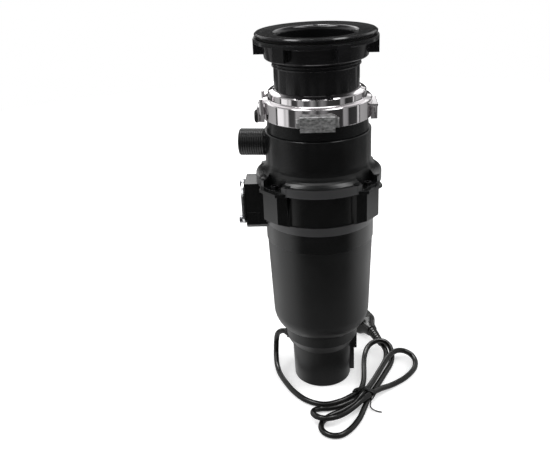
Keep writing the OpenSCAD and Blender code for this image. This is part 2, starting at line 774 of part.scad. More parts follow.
module armature_core() {
    slots = 12;
    color("#7d8083") difference() {
        disc(armature_r, armature_h, armature_z);
        disc(shaft_r + run_clear, armature_h + 2, armature_z - 1);
        for (i = [0:slots - 1]) around(i * 360 / slots)
            radial_block(armature_r - 5, armature_r + 1, 2.6, armature_z - 1, armature_h + 2);
    }
}

module armature_winding() {
    color("#b06a3a") for (z = [armature_z - winding_h, armature_z + armature_h])
        translate([0, 0, z]) rotate_extrude() polygon([
            [shaft_r + run_clear, 0], [winding_r - winding_ease, 0], [winding_r, winding_ease],
            [winding_r, winding_h - winding_ease], [winding_r - winding_ease, winding_h],
            [shaft_r + run_clear, winding_h]]);
}

module commutator() {
    color("#c07c48") annulus(commutator_r, shaft_r + run_clear, commutator_h, commutator_z);
}

module motor_frame() {
    color("#6f7276") annulus(frame_r, frame_r - frame_wall, frame_h, frame_z);
}

module magnet(az) {
    color("#4a4b4d") intersection() {
        annulus(frame_r - frame_wall - seat, armature_r + magnet_clear, armature_h + 6, armature_z - 3);
        around(az) translate([0, 0, armature_z - 4]) linear_extrude(armature_h + 8)
            polygon([[0, 0], [60, -80], [90, 0], [60, 80]]);
    }
}

module magnet_left() { magnet(180); }

module magnet_right() { magnet(0); }

module carbon_brush(az) {
    color("#333436") around(az) difference() {
        radial_block(commutator_r - 2, commutator_r + 14, 6, commutator_z + 2, 7);
        disc(commutator_r + 0.15, 40, commutator_z - 10);
    }
}

module carbon_brush_a() { carbon_brush(90); }

module carbon_brush_b() { carbon_brush(270); }

module brush_holder(az) {
    color("#b5a36a") around(az) difference() {
        union() {
            radial_block(hub_r + fit, frame_r - 4, 11, lower_deck_z, commutator_z + 12 - lower_deck_z);
            radial_block(commutator_r + 3, hub_r + 1, 11, commutator_z, 12);
        }
        radial_block(commutator_r, commutator_r + 14 + seat, 6 + 2 * seat,
            commutator_z + 2 - seat, 7 + 2 * seat);
    }
}

module brush_holder_a() { brush_holder(90); }

module brush_holder_b() { brush_holder(270); }

module lower_bracket() {
    color("#8a8c8f") turned([[bearing_r + seat, frame_z - 3], [hub_r, frame_z - 3],
        [frame_r, frame_z - 3], [frame_r, frame_z], [frame_r - frame_wall - seat, frame_z],
        [frame_r - frame_wall - seat, lower_deck_z], [hub_r, lower_deck_z], [hub_r, frame_z + 8.5],
        [shaft_r + 3, frame_z + 8.5], [shaft_r + 3, frame_z - 3 + bearing_h],
        [bearing_r + seat, frame_z - 3 + bearing_h]]);
}

module sound_sleeve() {
    color("#55524c") annulus(shell_low_r - wall - fit, frame_r + fit, frame_h - 20, shell_z + 6);
}

module motor_shell() {
    rim_z = floor_z - 0.3;
    color("#1d1e20") turned(concat(
        arc(shell_low_r - dome_rad, shell_z, dome_rad, -dome_a, 0, 12),
        [[shell_top_r, skirt_z - 0.6], [shell_top_r - 0.4, skirt_z], [shell_top_r - wall, skirt_z],
         [shell_top_r - wall, rim_z], [shell_top_r - 2 * wall, rim_z], [shell_top_r - 2 * wall, skirt_z - 4],
         [shell_low_r - wall, shell_z + 2]],
        arc(shell_low_r - dome_rad, shell_z, dome_rad - wall, 0, -dome_a, 12)));
}

// ---- tail ----

// The tail's outline from the floor to the dome.
function tail_profile(g = 0) = [[tail_foot_r + g, 0], [tail_neck_r + g, tail_cone_z],
    [tail_collar_r + g, tail_collar_z], [tail_collar_r + g, dome_z]];

module tail_solid(g = 0) { turned(concat([[0, 0]], tail_profile(g), [[0, dome_z]])); }

module tail_housing() {
    inner = tail_collar_r - wall;
    color("#1e1f21") difference() {
        union() {
            tail_wall(inner);
            // Boss round the cord relief, sloping out from the wall.
            difference() {
                around(cord_az) translate([0, 0, cord_z]) rotate([0, 90, 0])
                    translate([0, 0, tail_foot_r - 6])
                        cylinder(r1 = 17, r2 = 6.6, h = tail_neck_r + boss_reach - tail_foot_r + 6);
                turned([[0, base_t - 1], [tail_foot_r - 1, base_t - 1], [tail_neck_r - 1, tail_cone_z],
                    [tail_collar_r - 1, tail_collar_z], [tail_collar_r - 1, dome_z], [0, dome_z]]);
            }
        }
        around(cord_az) translate([0, 0, cord_z]) rotate([0, 90, 0]) cylinder(r = gland_r + seat, h = 60);
    }
}

module tail_wall(inner) {
    turned([[tail_foot_r - wall, base_t], tail_profile()[0] + [0.1, base_t], tail_profile()[1],
        tail_profile()[2], [tail_collar_r, dome_z - 0.4], [tail_collar_r - 0.4, dome_z],
        [inner - spigot_clear, dome_z], [inner - spigot_clear, dome_z + spigot_h],
        [inner - wall, dome_z + spigot_h], [inner - wall, tail_collar_z],
        [tail_neck_r - wall, tail_cone_z], [tail_foot_r - wall, base_t]]);
}

module wiring_cover() {
    color("#141516") around(cover_az) difference() {
        union() {
            radial_block(26, tail_neck_r + 2.9, 12, base_t + 0.5, tail_h - 8);
            radial_block(26, tail_collar_r - 0.6, 14, tail_h - 12, tail_cone_h + 11);
        }
        tail_solid(0.05);
    }
}

module base_cover() {
    color("#18191a") difference() {
        turned([[0, 0], [tail_foot_r - 1.5, 0], [tail_foot_r - 0.4, 0.5], [tail_foot_r, 1.5],
            [tail_foot_r, base_t], [tail_foot_r - wall - spigot_clear, base_t],
            [tail_foot_r - wall - spigot_clear, base_t + 4], [tail_foot_r - wall - 2.5, base_t + 4],
            [tail_foot_r - wall - 2.5, base_t], [0, base_t]]);
        translate([button_at[0], button_at[1], -1]) cylinder(r = button_r + fit, h = 20);
    }
    color("#18191a") for (p = [[-9, 5], [9, 5]])
        translate([p[0], p[1], base_t - 1]) cylinder(r = 3, h = protector_z - base_t + 1);
}

module overload_protector() {
    color("#7b2d26") translate([-12, -14, protector_z]) cube([34, 24, 18]);
}

module reset_button() {
    color("#c0201c") translate([button_at[0], button_at[1], 0]) {
        translate([0, 0, 0.8]) cylinder(r = button_r, h = protector_z - 1.2 - button_travel);
        translate([0, 0, base_t + 0.2]) cylinder(r = button_r + 1.5, h = 1.2);
    }
}

// ---- cord ----

// Bush through the boss, with a flange outside it and a tapered end on the cord.
module cord_relief() {
    face = tail_neck_r + boss_reach;
    color("#121313") around(cord_az) translate([0, 0, cord_z]) rotate([0, 90, 0]) rotate_extrude()
        polygon([[0, relief_root], [gland_r - 1.2, relief_root], [gland_r, relief_root + 2], [gland_r, face],
            [6.6, face], [6.6, face + 2.2], [5.2, face + 2.6], [cord_d / 2 + 0.7, relief_tip],
            [0, relief_tip]]);
}

function unit(v) = v / norm(v);
function across(v, t) = unit(v - (v * t) * t);

// Direction of a route at its point i, with its end directions given.
function heading(p, i, d0, d1) = i == 0 ? unit(d0) : i == len(p) - 1 ? unit(d1) : unit(p[i + 1] - p[i - 1]);

// A round tube of radius r and n sides along the points p.
module tube(p, r, n, d0, d1) {
    m = len(p);
    t = [for (i = [0:m - 1]) heading(p, i, d0, d1)];
    side = [for (i = 0, a = across([0, 0, 1], t[0]); i < m; i = i + 1, a = i < m ? across(a, t[i]) : a) a];
    rings = [for (i = [0:m - 1], k = [0:n - 1])
        p[i] + r * (cos(k * 360 / n) * side[i] + sin(k * 360 / n) * cross(t[i], side[i]))];
    polyhedron(rings, concat(
        [[for (k = [0:n - 1]) k]],
        [for (i = [0:m - 2], k = [0:n - 1]) [i * n + k, (i + 1) * n + k, (i + 1) * n + (k + 1) % n]],
        [for (i = [0:m - 2], k = [0:n - 1]) [i * n + k, (i + 1) * n + (k + 1) % n, i * n + (k + 1) % n]],
        [[for (k = [n - 1:-1:0]) (m - 1) * n + k]]));
}

plug_dir = [cos(plug_az), sin(plug_az), (plug_axis_z - plug_tip_z) / plug_neck];

module power_cord() {
    color("#151617") tube(cord_path, cord_d / 2, 10, [cos(cord_az), sin(cord_az), 0], plug_dir);
}

// Plug laid on its side, with its relief at the origin and its blades along +X.
module at_plug() { translate([plug_at[0], plug_at[1], 0]) rotate([0, 0, plug_az]) children(); }

module cord_plug() {
    tilt = atan((plug_axis_z - plug_tip_z) / plug_neck);
    w = plug_w / 2;
    t = plug_t;
    color("#17181a") at_plug() {
        translate([0, 0, plug_tip_z]) rotate([0, 90 - tilt, 0])
            cylinder(r1 = cord_d / 2 + 0.9, r2 = 6.2, h = plug_neck + 2);
        intersection() {
            linear_extrude(t) polygon([[plug_neck, -7.5], [plug_neck + 12, -9], [plug_neck + 16, 1 - w],
                [plug_neck + 18, -w], [plug_l - 2, -w], [plug_l, 1.5 - w], [plug_l, w - 1.5],
                [plug_l - 2, w], [plug_neck + 18, w], [plug_neck + 16, w - 1], [plug_neck + 12, 9],
                [plug_neck, 7.5]]);
            rotate([90, 0, 0]) translate([0, 0, -w]) linear_extrude(2 * w) polygon([[plug_neck, 4.5],
                [plug_neck + 12, 3], [plug_neck + 17, 0], [plug_l - 3, 0], [plug_l, 2], [plug_l, t - 2],
                [plug_l - 3, t], [plug_neck + 17, t], [plug_neck + 12, t - 3], [plug_neck, t - 4.5]]);
        }
    }
}

// Two flat blades and a round ground pin.
module plug_blades() {
    blade_z = plug_axis_z + 4;
    color("#c8b273") at_plug() {
        for (s = [-1, 1]) translate([plug_l, s * blade_pitch / 2 - blade_t / 2, blade_z - blade_w / 2])
            cube([blade_l, blade_t, blade_w]);
        translate([plug_l, 0, blade_z - 11.9]) rotate([0, 90, 0]) cylinder(r = pin_r, h = pin_l);
    }
}

module tie_outline(r) {
    hull() for (c = tie_corners) translate(c) circle(r = r, $fn = 24);
}

module cord_tie() {
    color("#101111") {
        translate([tie_at[0], tie_at[1], 0]) rotate([0, 0, tie_az + 90]) rotate([90, 0, 0])
            translate([0, 0, -tie_w / 2]) linear_extrude(tie_w) difference() {
                intersection() {
                    tie_outline(cord_d / 2 + 1.1);
                    translate([-50, 0]) square([100, 50]);
                }
                tie_outline(cord_d / 2 + 0.2);
            }
        tube(tie_tail, 0.8, 8, [-1, -5, -1], [5, -2, 0]);
    }
}

sink_flange();
flange_gasket();
slip_washer();
mounting_nut();
splash_guard();
locking_ring();
ring_bracket_front();
ring_bracket_left();
ring_bracket_right();
ring_bracket_back();
ring_bumper();
mounting_collar();
grind_chamber();
shredder_ring();
turntable();
turntable_cap();
impeller_a();
impeller_b();
impeller_rivet_a();
impeller_rivet_b();
chamber_seal();
waste_housing();
discharge_gasket();
discharge_plate();
discharge_screw_low();
discharge_screw_high();
joint_screw_a();
joint_screw_b();
joint_screw_c();
joint_screw_d();
shaft_seal();
upper_bracket();
upper_bearing();
motor_shaft();
armature_core();
armature_winding();
commutator();
motor_frame();
magnet_left();
magnet_right();
carbon_brush_a();
carbon_brush_b();
brush_holder_a();
brush_holder_b();
lower_bracket();
lower_bearing();
sound_sleeve();
motor_shell();
tail_housing();
wiring_cover();
base_cover();
overload_protector();
reset_button();
cord_relief();
power_cord();
cord_plug();
plug_blades();
cord_tie();
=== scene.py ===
"""Kitchen garbage disposal: finishes, cord, tie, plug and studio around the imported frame."""

from math import copysign, cos, pi, radians, sin

import bpy
from mathutils import Matrix, Vector


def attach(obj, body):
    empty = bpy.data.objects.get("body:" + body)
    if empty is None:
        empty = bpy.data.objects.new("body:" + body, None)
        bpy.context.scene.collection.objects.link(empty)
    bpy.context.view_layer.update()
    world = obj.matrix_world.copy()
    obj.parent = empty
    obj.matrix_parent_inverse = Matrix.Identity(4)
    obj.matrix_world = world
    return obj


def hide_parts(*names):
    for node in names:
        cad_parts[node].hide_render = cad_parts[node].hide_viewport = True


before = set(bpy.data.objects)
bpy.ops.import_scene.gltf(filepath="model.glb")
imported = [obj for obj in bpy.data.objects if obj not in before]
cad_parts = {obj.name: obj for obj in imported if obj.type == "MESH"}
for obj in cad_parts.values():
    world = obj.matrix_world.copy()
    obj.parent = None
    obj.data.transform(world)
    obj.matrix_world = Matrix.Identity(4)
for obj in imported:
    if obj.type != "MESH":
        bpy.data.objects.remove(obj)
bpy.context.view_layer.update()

bl_info = {
    "name": "Kitchen Garbage Disposal",
    "version": (1, 0, 0),
    "blender": (4, 5, 0),
    "location": "3D View > Sidebar > Disposal",
    "description": "Dresses the packed disposal frame and sets it in a plain studio",
    "category": "Object",
}

MM = 0.001
# Faces that meet at more than this stay sharp, on the CAD pieces and on the moulded ones.
CAD_SHARP = radians(28)
LOFT_SHARP = radians(50)


# ---- settings ----

def colour(label, note, default):
    return bpy.props.FloatVectorProperty(name=label, description=note, default=default,
                                         subtype="COLOR", size=3, min=0.0, max=1.0)


def length(label, note, default, high=2.0):
    return bpy.props.FloatProperty(name=label, description=note, default=default,
                                   min=0.0, max=high, unit="LENGTH", precision=5)


def angle(label, note, degrees):
    return bpy.props.FloatProperty(name=label, description=note, default=radians(degrees),
                                   subtype="ANGLE", unit="ROTATION")


class DisposalColours(bpy.types.PropertyGroup):
    """Base colours of the disposal's finishes."""
    shell: colour("Shells", "Satin black of the moulded housings", (0.0042, 0.0044, 0.0045))
    rim_sheen: colour("Housing rims", "Painted sheen on the ledge and the joint band", (0.04, 0.04, 0.041))
    # Painted sheen: a lighter colour standing in for the light that the sloped ledge and joint band catch.
    gloss: colour("Sink flange", "Polished black of the flange and its nut", (0.0064, 0.0064, 0.0068))
    rubber: colour("Rubber", "Dull black of gaskets, guard and bumper", (0.012, 0.012, 0.012))
    chrome: colour("Chrome", "Plating of the locking ring", (0.9, 0.87, 0.885))
    bracket: colour("Bracket steel", "Brushed steel of the front bracket", (0.74, 0.74, 0.74))
    zinc: colour("Zinc plate", "Bright zinc of the discharge plate", (0.84, 0.85, 0.87))
    screw: colour("Discharge screws", "Zinc of the discharge plate's screws", (0.36, 0.36, 0.38))
    dark_screw: colour("Joint screws", "Blackened steel of the joint screws", (0.05, 0.05, 0.052))
    stainless: colour("Stainless steel", "Grinding ring, turntable and impellers", (0.58, 0.58, 0.57))
    alloy: colour("Cast alloy", "Die-cast bearing brackets", (0.5, 0.5, 0.5))
    core: colour("Core steel", "Laminated steel of the armature and frame", (0.22, 0.22, 0.23))
    copper: colour("Copper", "Windings and commutator bars", (0.72, 0.31, 0.16))
    brass: colour("Brass", "Blades and ground pin of the plug", (0.76, 0.6, 0.32))
    ferrite: colour("Ferrite and carbon", "Magnets and brushes", (0.03, 0.03, 0.032))
    holder: colour("Brush holder", "Phenolic moulding round each brush", (0.34, 0.24, 0.1))
    felt: colour("Felt", "Sound sleeve round the motor", (0.11, 0.1, 0.085))
    red: colour("Reset red", "Overload protector and its button", (0.42, 0.02, 0.015))
    jacket: colour("Cord jacket", "Flexible jacket of the cord and plug", (0.006, 0.006, 0.0055))
    paper: colour("Tie strip", "Coated strip of the cord tie", (0.006, 0.006, 0.006))
    stage: colour("Studio floor", "Pale floor under the disposal", (0.8, 0.8, 0.8))


class DisposalSizes(bpy.types.PropertyGroup):
    """Sizes of the pieces made here."""
    cord_d: length("Cord diameter", "Outer diameter of the cord jacket", 6.2 * MM)
    tie_w: length("Tie width", "Width of the strip round the cord bundle", 5 * MM)
    tie_t: length("Tie thickness", "Thickness of the strip", 0.8 * MM)
    relief_ribs: bpy.props.IntProperty(name="Relief ribs", default=7, min=3, max=10,
                                       description="Number of rings on the plug's strain relief")
    camera_y: length("Camera distance", "Distance of the camera in front of the rotor axis", 0.691)
    camera_z: length("Camera height", "Height of the camera over the floor", 0.495)
    camera_yaw: angle("Camera yaw", "Turn of the camera to the right", -3.99)
    camera_pitch: angle("Camera pitch", "Tilt of the camera downwards", 23.82)
    camera_roll: angle("Camera roll", "Roll of the camera", -2.81)
    camera_lens: bpy.props.FloatProperty(name="Camera lens", default=45.818, min=1.0, precision=3,
                                         description="Focal length in millimetres on a 36 mm sensor")
    floor_r: length("Floor radius", "Radius of the studio floor", 1.6, high=5.0)


# ---- node helpers ----

NOISE_DETAIL = 4.0
NOISE_ROUGHNESS = 0.55
EDGE_R = 0.35 * MM
BEVEL_SAMPLES = 6
# How alike the rounded and the true normal are where an edge takes all its wear and painted-highlight
# colour, and where it takes none.
FULL_WEAR_AND_GLINT, NO_WEAR_OR_GLINT = 0.82, 0.99
# The noise that gives the darkest and the lightest tint.
TINT_NOISE = (0.3, 0.7)
# Most and least gloss of a finish, as shares of its roughness, and the noise that gives them.
GLOSS_SHARES, GLOSS_NOISE = (0.88, 1.14), (0.7, 1.3)
GRAIN_STRENGTH = 0.5


def add(tree, kind, links=None, values=None, **settings):
    """Adds a node, sets it and wires its inputs from other sockets."""
    node = tree.nodes.new(kind)
    for key, value in settings.items():
        setattr(node, key, value)
    for key, value in (values or {}).items():
        node.inputs[key].default_value = value
    for key, socket in (links or {}).items():
        tree.links.new(socket, node.inputs[key])
    return node


def noise(tree, scale, stretch):
    """Noise in the part's own metres: scale is in features per metre."""
    coords = add(tree, "ShaderNodeTexCoord")
    mapping = add(tree, "ShaderNodeMapping", {"Vector": coords.outputs["Object"]}, {"Scale": stretch})
    return add(tree, "ShaderNodeTexNoise", {"Vector": mapping.outputs["Vector"]},
               {"Scale": scale, "Detail": NOISE_DETAIL, "Roughness": NOISE_ROUGHNESS}).outputs["Fac"]


def spread(tree, source, low, high, start, end):
    """Maps a signal's run from start to end on to low and high."""
    return add(tree, "ShaderNodeMapRange", {"Value": source},
               {"From Min": start, "From Max": end, "To Min": low, "To Max": high}).outputs["Result"]


def mixed(tree, factor, first, second):
    """Colour between first and second, each a plain colour or a socket."""
    node = add(tree, "ShaderNodeMix", {0: factor}, data_type="RGBA")
    first_slot, second_slot, result = 6, 7, 2
    for slot, source in ((first_slot, first), (second_slot, second)):
        if isinstance(source, bpy.types.NodeSocket):
            tree.links.new(source, node.inputs[slot])
        else:
            node.inputs[slot].default_value = (*source, 1)
    return node.outputs[result]


def times(tree, first, second):
    return add(tree, "ShaderNodeMath", {0: first, 1: second}, operation="MULTIPLY").outputs["Value"]


def rounded_normal(tree):
    """Normal as if every edge were rounded a little."""
    return add(tree, "ShaderNodeBevel", values={"Radius": EDGE_R}, samples=BEVEL_SAMPLES).outputs["Normal"]


# Mask of edges whose colour is partly wear and partly a painted highlight.
def edge_wear_and_glint(tree):
    """0 on a flat face, rising at its convex and concave edges."""
    true = add(tree, "ShaderNodeNewGeometry").outputs["Normal"]
    alike = add(tree, "ShaderNodeVectorMath", {0: rounded_normal(tree), 1: true}, operation="DOT_PRODUCT")
    return spread(tree, alike.outputs["Value"], 1.0, 0.0, FULL_WEAR_AND_GLINT, NO_WEAR_OR_GLINT)


def within(tree, value, low, high):
    """1 where a value lies between low and high, else 0."""
    return add(tree, "ShaderNodeMath", {0: value}, {1: (low + high) / 2, 2: (high - low) / 2},
               operation="COMPARE").outputs["Value"]


# Marks where the painted sheen goes on a piece.
def sheen_span_mask(tree, low_z, high_z, low_r, high_r):
    """1 on the part of a piece that lies in a span of heights and of distances from the rotor's axis."""
    place = add(tree, "ShaderNodeTexCoord").outputs["Object"]
    flat = add(tree, "ShaderNodeVectorMath", {0: place}, {1: (1, 1, 0)}, operation="MULTIPLY")
    reach = add(tree, "ShaderNodeVectorMath", {0: flat.outputs["Vector"]}, operation="LENGTH")
    height = add(tree, "ShaderNodeSeparateXYZ", {"Vector": place}).outputs["Z"]
    return times(tree, within(tree, height, low_z, high_z),
                 within(tree, reach.outputs["Value"], low_r, high_r))


def tinted(base, factor):
    return tuple(min(1.0, c * factor) for c in base)


def surface(name, base, rough, metal=0.0, specular=0.5, grain=1500, grain_depth=0.03 * MM,
            stretch=(1, 1, 1), mottle=0.25, cloud_scale=38, edge=None, rims=(), rim_sheen=None):
    """A finish with mottled colour, uneven gloss, surface grain and lightened edges.

    grain and cloud_scale are in features per metre. Where edge is given, edges take that colour, partly as
    wear and partly as a painted highlight; where rims are given, those spans take the painted sheen
    colour.
    """
    material = bpy.data.materials.new(name)
    material.use_nodes = True
    tree = material.node_tree
    shader = tree.nodes["Principled BSDF"]
    shader.inputs["Metallic"].default_value = metal
    shader.inputs["Specular IOR Level"].default_value = specular
    cloud = noise(tree, cloud_scale, stretch)
    tint = mixed(tree, spread(tree, cloud, 0, 1, *TINT_NOISE),
                 tinted(base, 1 - mottle), tinted(base, 1 + mottle))
    # Edges lightened, partly as wear and partly as a painted highlight where they would catch light.
    if edge is not None:
        tint = mixed(tree, edge_wear_and_glint(tree), tint, edge)
    # Painted sheen on the given spans, lighter where sloped faces would catch light.
    for span in rims:
        tint = mixed(tree, sheen_span_mask(tree, *span), tint, rim_sheen)
    tree.links.new(tint, shader.inputs["Base Color"])
    fine = noise(tree, grain, stretch)
    smear = add(tree, "ShaderNodeMath", {0: cloud, 1: fine}, operation="ADD").outputs["Value"]
    least, most = GLOSS_SHARES
    tree.links.new(spread(tree, smear, rough * least, rough * most, *GLOSS_NOISE),
                   shader.inputs["Roughness"])
    grained = add(tree, "ShaderNodeBump", {"Height": fine, "Normal": rounded_normal(tree)},
                  {"Strength": GRAIN_STRENGTH, "Distance": grain_depth})
    tree.links.new(grained.outputs["Normal"], shader.inputs["Normal"])
    return material


# ---- finishes ----

# Spans of the housing that take a painted sheen, on its ledge and joint band: heights, then distances from
# the rotor's axis.
LEDGE_SHEEN_SPAN = (200.3 * MM, 209.3 * MM, 57 * MM, 58.2 * MM)
JOINT_SHEEN_SPAN = (243.2 * MM, 252.2 * MM, 64.6 * MM, 65.4 * MM)
# What shows at a finish's edges: partly wear, partly a painted highlight.
BLACK_WEAR_AND_GLINT = (0.02, 0.02, 0.021)
GLOSS_WEAR_AND_GLINT = (0.016, 0.016, 0.018)
METAL_WEAR_AND_GLINT = (0.9, 0.9, 0.9)
ZINC_WEAR_AND_GLINT = (0.7, 0.7, 0.7)
BLACKENING_WEAR_AND_GLINT = (0.1, 0.1, 0.1)


def moulded_black(paint):
    return surface("moulded_black", paint.shell, 0.36, grain=2600, grain_depth=0.02 * MM, edge=BLACK_WEAR_AND_GLINT)


def semi_gloss_black(paint):
    # Its ledge and joint band take a painted sheen colour.
    return surface("semi_gloss_black", paint.shell, 0.24, grain=2000, grain_depth=0.01 * MM,
                   edge=BLACK_WEAR_AND_GLINT, rims=(LEDGE_SHEEN_SPAN, JOINT_SHEEN_SPAN), rim_sheen=paint.rim_sheen)


def polished_black(paint):
    return surface("polished_black", paint.gloss, 0.13, grain=900, grain_depth=0.003 * MM, edge=GLOSS_WEAR_AND_GLINT)


def matt_rubber(paint):
    return surface("matt_rubber", paint.rubber, 0.62, specular=0.4, grain=3200)


def plated_chrome(paint):
    return surface("plated_chrome", paint.chrome, 0.07, metal=1.0, grain=300, grain_depth=0.012 * MM,
                   mottle=0.03)


def brushed_steel(paint):
    return surface("brushed_steel", paint.bracket, 0.36, metal=0.86, grain=400, grain_depth=0.3 * MM,
                   stretch=(1, 1, 2), mottle=0.6, cloud_scale=260, edge=METAL_WEAR_AND_GLINT)


def zinc_plate(paint):
    return surface("zinc_plate", paint.zinc, 0.28, metal=1.0, grain=500, mottle=0.12, edge=METAL_WEAR_AND_GLINT)


def screw_zinc(paint):
    return surface("screw_zinc", paint.screw, 0.32, metal=1.0, grain=900, mottle=0.2, edge=ZINC_WEAR_AND_GLINT)


def blackened_screw(paint):
    return surface("blackened_screw", paint.dark_screw, 0.34, metal=1.0, grain=900, mottle=0.2,
                   edge=BLACKENING_WEAR_AND_GLINT)


def stainless_steel(paint):
    return surface("stainless_steel", paint.stainless, 0.3, metal=1.0, grain=400, mottle=0.12)


def cast_alloy(paint):
    return surface("cast_alloy", paint.alloy, 0.5, metal=1.0, grain_depth=0.05 * MM, mottle=0.2)


def laminated_steel(paint):
    return surface("laminated_steel", paint.core, 0.45, metal=1.0, grain=60, grain_depth=0.1 * MM,
                   stretch=(0.2, 0.2, 30), mottle=0.3)


def wound_copper(paint):
    return surface("wound_copper", paint.copper, 0.35, metal=1.0, grain=90, grain_depth=0.3 * MM,
                   stretch=(0.3, 0.3, 20), mottle=0.3)


def plug_brass(paint):
    return surface("plug_brass", paint.brass, 0.25, metal=1.0, grain=600, mottle=0.1)


def ferrite(paint):
    return surface("ferrite", paint.ferrite, 0.7, specular=0.3, grain=2500)


def phenolic(paint):
    return surface("phenolic", paint.holder, 0.5, specular=0.4)


def felt(paint):
    return surface("felt", paint.felt, 0.95, specular=0.1, grain=1200, grain_depth=0.4 * MM, mottle=0.4)


def reset_red(paint):
    return surface("reset_red", paint.red, 0.38)


def cord_jacket(paint):
    return surface("cord_jacket", paint.jacket, 0.2, grain=700, grain_depth=0.01 * MM)


def tie_strip(paint):
    return surface("tie_strip", paint.paper, 0.5, specular=0.4, grain=1200)


# Materials made so far, by the name of their finish function.
MADE = {}


def finish_of(build):
    """The material that a finish function builds, made once."""
    if build.__name__ not in MADE:
        MADE[build.__name__] = build(bpy.context.scene.disposal_colours)
    return MADE[build.__name__]


def dress(build, *nodes):
    """Gives CAD nodes a finish and smooth shading between their sharp edges."""
    for name in nodes:
        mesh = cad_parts[name].data
        mesh.materials.clear()
        mesh.materials.append(finish_of(build))
        mesh.shade_smooth()
        mesh.set_sharp_from_angle(angle=CAD_SHARP)


def piece(name, data, material, body, slot, *stands_for):
    """Links a piece made here, with its finish and body, and hides the CAD nodes it stands for; its record
    slot is not used.
    """
    obj = bpy.data.objects.new(name, data)
    bpy.context.scene.collection.objects.link(obj)
    data.materials.append(material)
    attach(obj, body)
    if stands_for:
        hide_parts(*stands_for)
    return obj


def loft(name, rings, closed_ends=True):
    """Mesh skinned over rings that all hold the same number of points."""
    count = len(rings[0])
    verts = [p for ring in rings for p in ring]
    faces = []
    for start in range(0, len(verts) - count, count):
        for k in range(count):
            near, far = start + k, start + (k + 1) % count
            faces.append((near, far, far + count, near + count))
    if closed_ends:
        faces.append(tuple(reversed(range(count))))
        faces.append(tuple(range(len(verts) - count, len(verts))))
    mesh = bpy.data.meshes.new(name)
    mesh.from_pydata(verts, [], faces)
    mesh.validate()
    mesh.shade_smooth()
    mesh.set_sharp_from_angle(angle=LOFT_SHARP)
    return mesh


# ---- cord, tie and plug ----

# Route of the cord's centreline from the relief to the plug, in millimetres.
CORD_MM = (
    (-43.14, 20.12, 42), (-48.6, 22.7, 40.4), (-52.8, 24.6, 36), (-54.6, 24.8, 29),
    (-55.3, 21.5, 20.5), (-55.3, 14, 12.5), (-54, 3, 6.6), (-50.2, -10.5, 3.5), (-42, -29, 3.2),
    (-32, -46, 3.2), (-18, -61, 3.2), (0, -68, 3.2), (17, -63.6, 3.2), (30.6, -54.5, 3.2),
    (41, -43.8, 3.2), (46, -29, 3.2), (48, -11, 3.2), (49, 7, 3.2), (50.8, 21, 5),
    (54.2, 31.6, 8.2), (60.4, 38, 11.6), (68.4, 39.8, 13.8), (76, 37, 14.4), (81.4, 31, 12),
    (83.4, 22.8, 7.8), (82.6, 13.8, 4.4), (79.2, 3.4, 3.2), (72.8, -10.6, 3.2), (65.2, -27, 3.2),
    (57, -43.4, 3.2), (50.2, -57, 3.2), (44.6, -73, 3.2), (39, -89, 3.2), (32.6, -101.4, 3.2),
    (25.6, -111, 3.2), (17.4, -117.6, 3.2), (8.4, -118.4, 3.2), (0.6, -113.8, 3.2),
    (-2.8, -105.5, 3.2), (-0.8, -96.2, 3.2), (6.6, -87.6, 3.2), (19.6, -79.6, 3.6),
    (32.5, -70.2, 5.6), (40.4, -61.6, 8.8), (47, -53, 9.8), (55, -38.4, 9.6), (63.2, -20.2, 9.6),
    (71.4, -3, 10.3), (80.4, 12.6, 12), (88.5, 20.6, 12), (97.5, 23.8, 9.8), (105.6, 20.6, 7),
    (109.6, 12.4, 4.6), (108.6, 2, 3.2), (103, -9.6, 3.2), (92.6, -22.4, 3.2), (78, -34.6, 3.8),
    (63.6, -46.4, 7.2), (50.6, -60, 9.9), (41.2, -70.4, 9.8), (30.8, -81.5, 8.6), (20.5, -91, 8.4),
    (10.5, -97.6, 9.6), (1, -99.6, 10), (-6.6, -96.2, 9.4), (-11, -88.8, 7.6), (-9.8, -80.6, 5.2),
    (-3.2, -75.8, 3.6), (6, -74.6, 3.2), (17, -71.6, 3.2), (28, -65, 3.2), (38.4, -57.6, 3.2),
    (46, -48.4, 3.2), (53.8, -33, 3.2), (62.4, -15.6, 3.2), (70.4, 3, 3.2), (75.6, 17, 3.4),
    (77, 28.4, 5.2), (75.4, 36.6, 6.9), (72.6, 42.8, 7.8),
)
CORD_EXIT_TURN = radians(155)
CORD_SPAN_STEPS = 6
CORD_ROUND_STEPS = 5
# Length of a knot's handles, as a share of the span on their side.
HANDLE_REACH = 0.33

# Place of the tie on the floor and direction of the bundle there.
TIE_AT = Vector((47, -53.4, 0)) * MM
TIE_TURN = radians(57)
# Cords at the bundle's corners under the tie: distance across the bundle and height.
TIE_CORNERS_MM = ((11.7, 3.4), (-5, 3.4), (-7.8, 9.8), (0.5, 10.2))
TIE_SIDES = 72
TIE_SLACK = 0.2 * MM
TIE_ROUND = 0.25 * MM
# Where the strip is pressed to the floor, its faces lie this share of its thickness apart.
TIE_FLOOR_SHARE = 0.1
TAIL_MM = ((52, -63.5, 3), (51, -69, 1.6), (53, -74, 1.4), (57.5, -77.6, 1.4), (63, -79.5, 1.4))
TAIL_R = 0.75 * MM
TAIL_SIDES = 12
TAIL_SPAN_STEPS = 12

PLUG_TURN = radians(114)
PLUG_TIP = Vector(CORD_MM[-1]) * MM
PLUG_AXIS_Z = 12 * MM
PLUG_NECK = 24 * MM
PLUG_SIDES = 40
# Power of a section that is a plain circle.
ROUND = 2
# The strain relief: radius at its tip, at its first rib and the gain up to its last rib.
RELIEF_TIP_R, RELIEF_R, RELIEF_GAIN = 3.5 * MM, 3.9 * MM, 2.2 * MM
# One rib and the groove after it: share of the pitch and depth below the rib.
RELIEF_RIB = ((0.08, 0), (0.55, 0), (0.62, 0.9 * MM), (0.95, 0.9 * MM))
